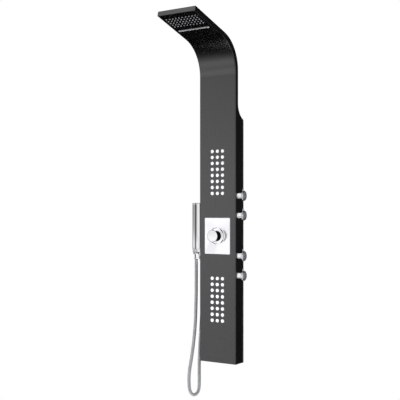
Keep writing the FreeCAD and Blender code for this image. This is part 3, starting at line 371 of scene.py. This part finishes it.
def joined_mesh(name, parts):
    """One mesh from several turned or swept parts; vertices that meet on an axis are merged."""
    builder = bmesh.new()
    for vertices, faces in parts:
        made = [builder.verts.new(vertex) for vertex in vertices]
        builder.verts.index_update()
        for face in faces:
            builder.faces.new([made[number] for number in face])
    bmesh.ops.remove_doubles(builder, verts=builder.verts, dist=1e-7)
    bmesh.ops.dissolve_degenerate(builder, edges=builder.edges, dist=1e-7)
    mesh = bpy.data.meshes.new(name)
    builder.to_mesh(mesh)
    builder.free()
    return mesh


def swept(points, radii, around):
    """Vertices and faces of a round section carried along points without twisting."""
    vertices = []
    faces = []
    direction = (points[1] - points[0]).normalized()
    side = direction.orthogonal().normalized()
    count = len(points)
    for number, point in enumerate(points):
        ahead = points[min(number + 1, count - 1)] - points[max(number - 1, 0)]
        turn = direction.rotation_difference(ahead.normalized())
        side = turn @ side
        direction = ahead.normalized()
        across = direction.cross(side)
        for step in range(around):
            angle = 2 * math.pi * step / around
            reach = side * math.cos(angle) + across * math.sin(angle)
            vertices.append(point + reach * radii[number])
    for number in range(count - 1):
        low, high = number * around, (number + 1) * around
        for step in range(around):
            beside = (step + 1) % around
            faces.append((low + step, low + beside, high + beside, high + step))
    faces.append(tuple(reversed(range(around))))
    faces.append(tuple(range((count - 1) * around, count * around)))
    return vertices, faces


def solids(node):
    """The centre of each separate solid of a CAD node."""
    builder = bmesh.new()
    builder.from_mesh(frame["nodes"][node].data)
    bmesh.ops.remove_doubles(builder, verts=builder.verts, dist=1e-6)
    waiting = set(builder.verts)
    centres = []
    while waiting:
        group = [waiting.pop()]
        for vertex in group:
            for edge in vertex.link_edges:
                other = edge.other_vert(vertex)
                if other in waiting:
                    waiting.remove(other)
                    group.append(other)
        low = Vector([min(vertex.co[axis] for vertex in group) for axis in range(3)])
        high = Vector([max(vertex.co[axis] for vertex in group) for axis in range(3)])
        centres.append((low + high) / 2)
    builder.free()
    return centres


# Hose

HOSE_ROUTE = [
    (-0.1195, -0.041, -0.100),
    (-0.1195, -0.041, -0.160),
    (-0.1175, -0.045, -0.280),
    (-0.119, -0.051, -0.400),
    (-0.131, -0.057, -0.510),
    (-0.142, -0.062, -0.578),
    (-0.141, -0.066, -0.628),
    (-0.136, -0.065, -0.667),
    (-0.130, -0.039, -0.684),
    (-0.125, -0.012, -0.668),
    (-0.124, -0.011, -0.624),
    (-0.124, -0.012, -0.556),
    (-0.121, -0.011, -0.470),
    (-0.112, -0.013, -0.360),
    (-0.1055, -0.013, -0.262),
    (-0.1055, -0.013, -0.207),
]
HOSE_RADIUS = 7 * MM
RING_PITCH = 2.6 * MM


def spline_points(route):
    """Points close together along the smooth spline that has the route as its control points."""
    curve = bpy.data.curves.new("hose_route", "CURVE")
    curve.dimensions = "3D"
    spline = curve.splines.new("NURBS")
    spline.points.add(len(route) - 1)
    for point, place in zip(spline.points, route):
        point.co = (*place, 1)
    spline.order_u = 3
    spline.use_endpoint_u = True
    spline.resolution_u = 24
    holder = bpy.data.objects.new("hose_route", curve)
    line = bpy.data.meshes.new_from_object(holder)
    points = [vertex.co.copy() for vertex in line.vertices]
    bpy.data.objects.remove(holder)
    bpy.data.meshes.remove(line)
    return points


def evenly(points, gap):
    """The points of a polyline spread evenly, about this far apart."""
    lengths = [0]
    for first, second in zip(points, points[1:]):
        lengths.append(lengths[-1] + (second - first).length)
    steps = round(lengths[-1] / gap)
    spread = []
    number = 0
    for step in range(steps + 1):
        wanted = lengths[-1] * step / steps
        while number < len(points) - 2 and lengths[number + 1] < wanted:
            number += 1
        share = (wanted - lengths[number]) / (lengths[number + 1] - lengths[number])
        spread.append(points[number].lerp(points[number + 1], share))
    return spread, lengths[-1]


def make_hose():
    """A metal hose: interlocked rings, each a rounded crest with a narrow groove after it."""
    line = spline_points(HOSE_ROUTE)
    ring_profile = (0.90, 0.975, 1.0, 0.975)
    points, length = evenly(line, RING_PITCH / len(ring_profile))
    radii = [HOSE_RADIUS * ring_profile[number % len(ring_profile)] for number in range(len(points))]
    mesh = joined_mesh("hose_tube", [swept(points, radii, around=24)])
    piece = place_piece("hose_tube", mesh, None, "hose_metal", ["hose"])
    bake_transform(piece)


# The mixer and the side knobs


def smooth(points, steps=6):
    """More points along a rounded line through the given ones."""
    ends = [points[0], *points, points[-1]]
    line = []
    for before, first, second, after in zip(ends, ends[1:], ends[2:], ends[3:]):
        for step in range(steps):
            part = step / steps
            place = []
            for a, b, c, d in zip(before, first, second, after):
                bend = (2 * b + (c - a) * part + (2 * a - 5 * b + 4 * c - d) * part**2
                        + (3 * b - a - 3 * c + d) * part**3)
                place.append(bend / 2)
            line.append(tuple(place))
    line.append(points[-1])
    return line


def arc(radius, first, last, centre=(0, 0), steps=16):
    """Points (radius, height) on a circle from one angle to another, in degrees above the radial axis."""
    points = []
    for step in range(steps + 1):
        angle = math.radians(first + (last - first) * step / steps)
        points.append((centre[0] + radius * math.cos(angle), centre[1] + radius * math.sin(angle)))
    return points


def add_piece(name, parts, body, replaced=(), look="chrome"):
    """One piece made of turned or swept parts."""
    place_piece(name, joined_mesh(name, parts), body, look, replaced)


def foot_of(node):
    """The middle of the lowest face of a CAD node's box."""
    low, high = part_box(node)
    return Vector(((low.x + high.x) / 2, (low.y + high.y) / 2, low.z))


def joint(name):
    return next(entry for entry in frame["joints"] if entry["name"] == name)


def make_mixer():
    low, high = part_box("mixer_plate")
    pivot = Vector(joint("mixer_flow")["pos_m"])
    front = Vector((0, low.y, 0))
    make_plate(low, high)
    collar = [(31, 0), (34.8, 0), (34.8, 3), (31.9, 3), (31.9, 4.8), (21.4, 4.8), (21.4, 3.4), (30.8, 3.4)]
    add_piece("collar_ring", [turned(collar, front, TO_USER, closed=True, ease=0.1, around=128)], "root",
              ["mixer_collar"], "satin_chrome")
    edge = [(31.6, 3.2), (34.9, 2.8), (35, 3), (34.6, 3.3), (31.8, 5)]
    add_piece("collar_edge", [turned(edge, front, TO_USER, closed=True, ease=0.1, around=128)], "root")
    # The dome's near-black finish is painted shade for the gap round the handle's neck.
    dome = [(10, -7), (21.2, -7), (21.2, -5), *arc(14.5, -16, 46), (10, 10.5)]
    add_piece("bonnet_dome", [turned(dome, pivot, TO_USER, closed=True, ease=0.3, around=96)], "root",
              ["mixer_bonnet"], "bonnet_painted_shade")
    face = smooth([(23.6, 26.9), (20, 26.9), (12, 26.7), (0, 26.6)], 4)
    disc = [(0, 24.4), (23.8, 24.4), (23.8, 26.6), *face]
    socket = [(0, 15.2), (15.3, 15.2), (15.3, 4.8), (15.6, 4.5), (15.9, 4.5), (15.9, 15.9), (0, 15.9)]
    parts = [turned(outline, pivot, TO_USER, ease=0, around=128) for outline in (disc, socket)]
    add_piece("mixer_knob", parts, "mixer_grip", ["mixer_handle"])
    flare = smooth([(19.4, 7.8), (18.7, 13), (19.3, 18), (21.4, 22), (24.6, 25)])
    foot = [(16, 4.5), (20.3, 4.5), (20.6, 4.9), (19.9, 7.6)]
    rim = [(25, 25.6), (25, 26.4), (24.4, 27), (23.8, 26.8), (23.8, 24.4), (16, 24.4)]
    # The waist's matte black finish is a painted dark reflection on the chrome handle.
    waist = [*foot, *flare, *rim]
    add_piece("mixer_knob_waist", [turned(waist, pivot, TO_USER, ease=0, around=128)], "mixer_grip",
              look="waist_painted_reflection")
    pin = turned(rounded_pin(3, 16.5), foot_of("handle_pin"), UP, ease=0, around=40)
    add_piece("mixer_knob_pin", [pin], "mixer_grip", ["handle_pin"])


def rounded_pin(radius, length):
    """A pin's outline: flat foot, straight side with a fine groove, and a rounded tip."""
    tip = arc(radius * 0.8, 0, 90, (radius * 0.2, length - radius * 0.8), 8)
    groove = [(radius, length * 0.62), (radius - 0.35, length * 0.64), (radius - 0.35, length * 0.67),
              (radius, length * 0.69)]
    return [(0, 0), (radius, 0), *groove, *tip, (0, length)]


def make_plate(low, high):
    """The square chrome plate: rounded corners, a soft front edge and a round hole."""
    centre = (low + high) / 2
    half = (high - low) / 2
    around = 128
    hole = 22 * MM
    corner_radius = 3 * MM

    def rectangle(inset, depth):
        corner = corner_radius - inset
        flat_x, flat_z = half.x - corner_radius, half.z - corner_radius
        points = []
        for quarter, (side_x, side_z) in enumerate(((1, 1), (-1, 1), (-1, -1), (1, -1))):
            for step in range(around // 4):
                angle = math.radians(90 * quarter + 90 * step / (around // 4 - 1))
                points.append(Vector((side_x * flat_x + corner * math.cos(angle), depth,
                                      side_z * flat_z + corner * math.sin(angle))))
        return points

    def circle(depth):
        points = []
        for quarter in range(4):
            for step in range(around // 4):
                angle = math.radians(90 * quarter + 90 * step / (around // 4 - 1) * 0.999)
                points.append(Vector((hole * math.cos(angle), depth, hole * math.sin(angle))))
        return points

    ease = 0.7 * MM
    flat = 0.3 * MM
    loops = [circle(high.y), circle(low.y), rectangle(ease + flat, low.y)]
    for step in range(5):
        angle = math.radians(90 - 22.5 * step)
        loops.append(rectangle(ease * (1 - math.cos(angle)), low.y + ease * (1 - math.sin(angle))))
    loops.append(rectangle(0, high.y))
    vertices = [Vector((centre.x, 0, centre.z)) + point for loop in loops for point in loop]
    faces = []
    for number in range(len(loops)):
        after = (number + 1) % len(loops)
        for step in range(around):
            beside = (step + 1) % around
            faces.append((number * around + step, number * around + beside, after * around + beside,
                          after * around + step))
    add_piece("plate", [(vertices, faces)], "root", ["mixer_plate"], "plate_chrome")


def make_knobs():
    """Four knobs of a flared stem, a rim, a domed cap and a pin, turned about their own hinges."""
    flare = smooth([(10.6, 10), (10.8, 14), (11.6, 18), (13.8, 22.6), (17, 25.6)])
    stem = [(7.5, 0.5), (10.2, 0.5), (10.6, 0.9), *flare, (17, 26), (0, 26)]
    inside = [(7.5, 0.5), (7.5, 10.5), (0, 10.5)]
    crown = smooth([(20.5, 28.2), (19.9, 29.2), (18.2, 30.4), (15.6, 31.5)], 3)
    rim = [(15.4, 25.8), (17, 25.8), (20, 27), (20.5, 27.4), *crown, (15.4, 31.4)]
    dome = smooth([(15.2, 31.6), (11, 32.5), (6, 32.9), (0, 33)], 3)
    face = [(0, 25.8), (15.4, 25.8), (15.4, 31.4), *dome]
    for number in range(1, 5):
        body = "valve_knob_%d" % number
        spot = Vector(joint("knob_%d_turn" % number)["pos_m"])
        parts = [turned(stem, spot, RIGHT, ease=0, around=96), turned(inside, spot, RIGHT, ease=0, around=96)]
        add_piece("valve_stem_%d" % number, parts, body, ["knob_%d" % number], "satin_chrome")
        ring = turned(rim, spot, RIGHT, closed=True, ease=0, around=96)
        add_piece("valve_rim_%d" % number, [ring], body)
        disc = turned(face, spot, RIGHT, ease=0, around=96)
        add_piece("valve_face_%d" % number, [disc], body, look="cap_chrome")
        pin = turned(rounded_pin(3.3, 21.5), foot_of("knob_pin_%d" % number), UP, ease=0, around=36)
        add_piece("valve_pin_%d" % number, [pin], body, ["knob_pin_%d" % number], "cap_chrome")


# Hand shower, its holder and the hose's fittings


def ridged(count, depth, low, high):
    """A ripple for turned(): ridges along the axis between two heights."""

    def ripple(angle, height):
        inside = min(1, max(0, min(height - low, high - height)))
        return -depth * inside * (0.5 - 0.5 * math.cos(count * angle))

    return ripple


def make_handset():
    low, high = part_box("handset_tube")
    axis = Vector(((low.x + high.x) / 2, (low.y + high.y) / 2, 0))
    top, foot = high.z / MM, low.z / MM
    collar_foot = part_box("handset_collar")[0].z / MM
    tube = [
        (5, foot),
        (15.3, foot),
        (16, foot + 0.7),
        (16, top - 8.4),
        (15.75, top - 8),
        (15.75, top - 7.6),
        (16, top - 7.2),
        *arc(2.2, 0, 90, (13.8, top - 2.2), 8),
        (13.7, top - 3.4),
        (11, top - 3.6),
        (11, foot + 8),
        (5, foot + 8),
    ]
    add_piece("wand_tube", [turned(tube, axis, UP, closed=True, ease=0, around=96)], "handset",
              ["handset_tube"], "wand_chrome")
    length = foot - collar_foot
    collar = smooth([(15.6, foot - 0.4), (15.6, foot - length * 0.45), (14.9, foot - length * 0.72),
                     (12.2, collar_foot)], 8)
    outline = [(8, foot), (15.3, foot), *collar, (8, collar_foot)]
    knurl = ridged(44, 0.45, collar_foot + 3, foot - 1.5)
    knurled = turned(outline, axis, UP, closed=True, ease=0, around=352, ripple=knurl)
    add_piece("wand_collar", [knurled], "handset", ["handset_collar"], "wand_chrome")
    nut_low, nut_high = (corner.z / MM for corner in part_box("hose_nut_upper"))
    nut = [
        (4.5, nut_high),
        (7.9, nut_high),
        (7.9, collar_foot),
        (11.0, collar_foot),
        (11.4, collar_foot - 0.4),
        (9.8, nut_low + 1),
        (9.3, nut_low),
        (4.5, nut_low),
    ]
    flutes = ridged(24, 0.35, nut_low + 2, collar_foot - 2)
    fluted = turned(nut, axis, UP, closed=True, ease=0.2, around=192, ripple=flutes)
    add_piece("hose_cone_nut", [fluted], "handset", ["hose_nut_upper"])
    return axis


def make_holder(axis):
    """The cup that holds the hand shower, slotted at the front for the hose, on its arm from the panel."""
    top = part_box("handset_holder")[1].z / MM
    foot = -99
    cup_radius = 14
    slot_width = 15
    cup = [(9.9, foot), (13.2, foot), (cup_radius, foot + 1), (cup_radius, top - 1.2), (13.2, top),
           (11.7, top)]
    slot_half = math.asin(slot_width / 2 / cup_radius)
    parts = [part_turned(cup, axis, slot_half)]
    arm_level = foot - 6
    spot = Vector((PANEL_LEFT, axis.y, arm_level * MM))
    arm = [(0, 0), (11, 0), (11, 2.2), (10.2, 3), (7.2, 3.6), (6.5, 5), (6.5, 19.2), (5.4, 20.5), (0, 20.5)]
    parts.append(turned(arm, spot, LEFT, ease=0.3, around=64))
    web_low = Vector((axis.x + 11.6 * MM, axis.y - 5 * MM, (arm_level - 2) * MM))
    web_high = Vector((axis.x + 18.5 * MM, axis.y + 5 * MM, (foot + 12.5) * MM))
    parts.append(soft_box(web_low, web_high, 1.2 * MM))
    parts.append(turned([(0, -12), (5, -12), (5, 0), (0, 0)], spot, LEFT, ease=0.3, around=48))
    add_piece("wand_holder", parts, "root", ["handset_holder"], "satin_chrome")


def part_turned(outline, spot, slot_half):
    """A closed outline turned about a vertical axis, with a slot towards the user left out."""
    steps = 56
    vertices = []
    faces = []
    points = eased(outline, True, 0.4)
    rings = len(points)
    for step in range(steps + 1):
        angle = -math.pi / 2 + slot_half + (2 * math.pi - 2 * slot_half) * step / steps
        for point in points:
            local = Vector((point.x * math.cos(angle), point.x * math.sin(angle), point.y))
            vertices.append(Vector((spot.x, spot.y, 0)) + local * MM)
    for step in range(steps):
        for ring in range(rings):
            after = (ring + 1) % rings
            faces.append((step * rings + ring, step * rings + after, (step + 1) * rings + after,
                          (step + 1) * rings + ring))
    faces.append(tuple(range(rings)))
    faces.append(tuple(reversed(range(steps * rings, (steps + 1) * rings))))
    return vertices, faces


def soft_box(low, high, ease):
    """Vertices and faces of a box with rounded edges."""
    builder = bmesh.new()
    bmesh.ops.create_cube(builder, size=1)
    for vertex in builder.verts:
        vertex.co = Vector([a + (b - a) * (part + 0.5) for a, b, part in zip(low, high, vertex.co)])
    bmesh.ops.bevel(builder, geom=builder.edges[:], offset=ease, segments=3, affect="EDGES", profile=0.5)
    builder.verts.index_update()
    vertices = [vertex.co.copy() for vertex in builder.verts]
    faces = [tuple(vertex.index for vertex in face.verts) for face in builder.faces]
    builder.free()
    return vertices, faces


def make_outlet():
    """The elbow where the hose leaves the panel, and the nut below it."""
    drop = 25 * MM
    centre = Vector((HOSE_ROUTE[-1][0], HOSE_ROUTE[-1][1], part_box("outlet_elbow")[0].z + drop))
    wall = Vector((PANEL_LEFT, centre.y, centre.z))
    flange = [(4.5, -9.5), (9, -9.5), (9, 0), (12.5, 0), (12.5, 1.8), (11.8, 2.5), (8.7, 3), (4.5, 3)]
    parts = [turned(flange, wall, LEFT, closed=True, ease=0.3, around=64)]
    bend = 9 * MM
    bend_steps = 12
    pipe_radius = 8.5 * MM
    foot_radius = 8.3 * MM
    path = [wall + LEFT * 2 * MM]
    for step in range(bend_steps + 1):
        angle = math.pi / 2 * step / bend_steps
        path.append(centre + Vector((bend - bend * math.sin(angle), 0, -bend + bend * math.cos(angle))))
    path.append(centre + DOWN * 15 * MM)
    path.append(centre + DOWN * drop)
    radii = [pipe_radius] * (len(path) - 1) + [foot_radius]
    parts.append(swept(path, radii, around=48))
    add_piece("hose_outlet", parts, "root", ["outlet_elbow"])
    low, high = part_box("hose_nut_lower")
    nut_top, nut_foot = high.z / MM, low.z / MM
    nut = [
        (8.6, nut_top),
        (10.0, nut_top),
        (10.5, nut_top - 0.6),
        (10.5, nut_top - 16.4),
        (9.9, nut_top - 17.2),
        (8.4, nut_foot + 0.6),
        (8.0, nut_foot),
        (4.5, nut_foot),
        (4.5, nut_foot + 17),
        (8.6, nut_foot + 17),
    ]
    flutes = ridged(20, 0.5, nut_top - 15.5, nut_top - 1.5)
    spot = Vector((centre.x, centre.y, 0))
    fluted = turned(nut, spot, UP, closed=True, ease=0.2, around=160, ripple=flutes)
    add_piece("hose_swivel_nut", [fluted], "root", ["hose_nut_lower"])


# Jets, rain nozzles and the waterfall's lip


def make_jets():
    """A ring and a rubber point at each body jet."""
    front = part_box("mixer_plate")[1].y
    bezel = [(2.5, -3), (4.5, -3), (4.5, 0), (7, 0), (7, 1), *arc(1.2, 0, 85, (5.8, 1.1), 6), (3.3, 2.6),
             (2.5, 2)]
    point = arc(0.8, 0, 80, (1.6, 2.7), 4)
    tip = [(0, -4.5), (3.7, -4.5), (3.7, -3), (2.4, -3), (2.4, 2.6), *point, (0.8, 3.5), (0.6, 2.9), (0, 2.9)]
    bezels = []
    tips = []
    for centre in solids("jet_bezels"):
        spot = Vector((centre.x, front, centre.z))
        bezels.append(turned(bezel, spot, TO_USER, closed=True, ease=0, around=32))
        tips.append(turned(tip, spot, TO_USER, ease=0, around=20))
    add_piece("jet_rings", bezels, "root", ["jet_bezels"], "satin_chrome")
    add_piece("jet_points", tips, "root", ["jet_tips"], "nozzle_rubber")


def head_frame():
    """The rain nozzles' centres and the direction that they point in, square to the head's underside."""
    centres = solids("rain_nozzles")
    far = min(centres, key=lambda centre: centre.y)
    near = max((centre for centre in centres if abs(centre.x - far.x) < 1 * MM), key=lambda centre: centre.y)
    along = (far - near).normalized()
    out = along.cross(RIGHT).normalized()
    return centres, -out if out.z > 0 else out


def make_rain_head():
    """The rubber points under the head."""
    centres, out = head_frame()
    nozzle = [(0, -4.5), (4.5, -4.5), (4.5, -3), (2.5, -3), (2.5, 0), (3, 0), (2.9, 0.7), (2.3, 1.1),
              (1.8, 2.7), (1.5, 3), (0.8, 3), (0.7, 2.4), (0, 2.4)]
    parts = []
    for centre in centres:
        parts.append(turned(nozzle, centre + out * 0.75 * MM, out, ease=0.12, around=20))
    add_piece("rain_points", parts, "root", ["rain_nozzles"], "rain_rubber")


def make_waterfall_lip():
    """The moulding round the slot that the sheet of water leaves by: a frame with rounded edges."""
    builder = bmesh.new()
    builder.from_mesh(frame["nodes"]["waterfall_lip"].data)
    bmesh.ops.remove_doubles(builder, verts=builder.verts, dist=1e-6)
    bmesh.ops.dissolve_limit(builder, angle_limit=math.radians(1), verts=builder.verts, edges=builder.edges)
    outer = [edge for edge in builder.edges if edge.is_manifold and edge.calc_face_angle() > math.radians(60)]
    bmesh.ops.bevel(builder, geom=outer, offset=0.5 * MM, segments=3, affect="EDGES", profile=0.5)
    mesh = bpy.data.meshes.new("water_lip")
    builder.to_mesh(mesh)
    builder.free()
    place_piece("water_lip", mesh, "root", "satin_chrome", ["waterfall_lip"])


make_camera()
make_studio()
make_lights()
MATERIALS = make_materials()
make_floor()
make_hose()
make_mixer()
make_knobs()
make_holder(make_handset())
make_outlet()
make_jets()
make_rain_head()
make_waterfall_lip()

for entry in frame["record"]["subparts"]:
    node = frame["nodes"][entry["node"]]
    node.data.materials.clear()
    node.data.materials.append(MATERIALS[entry["material_slot"]])
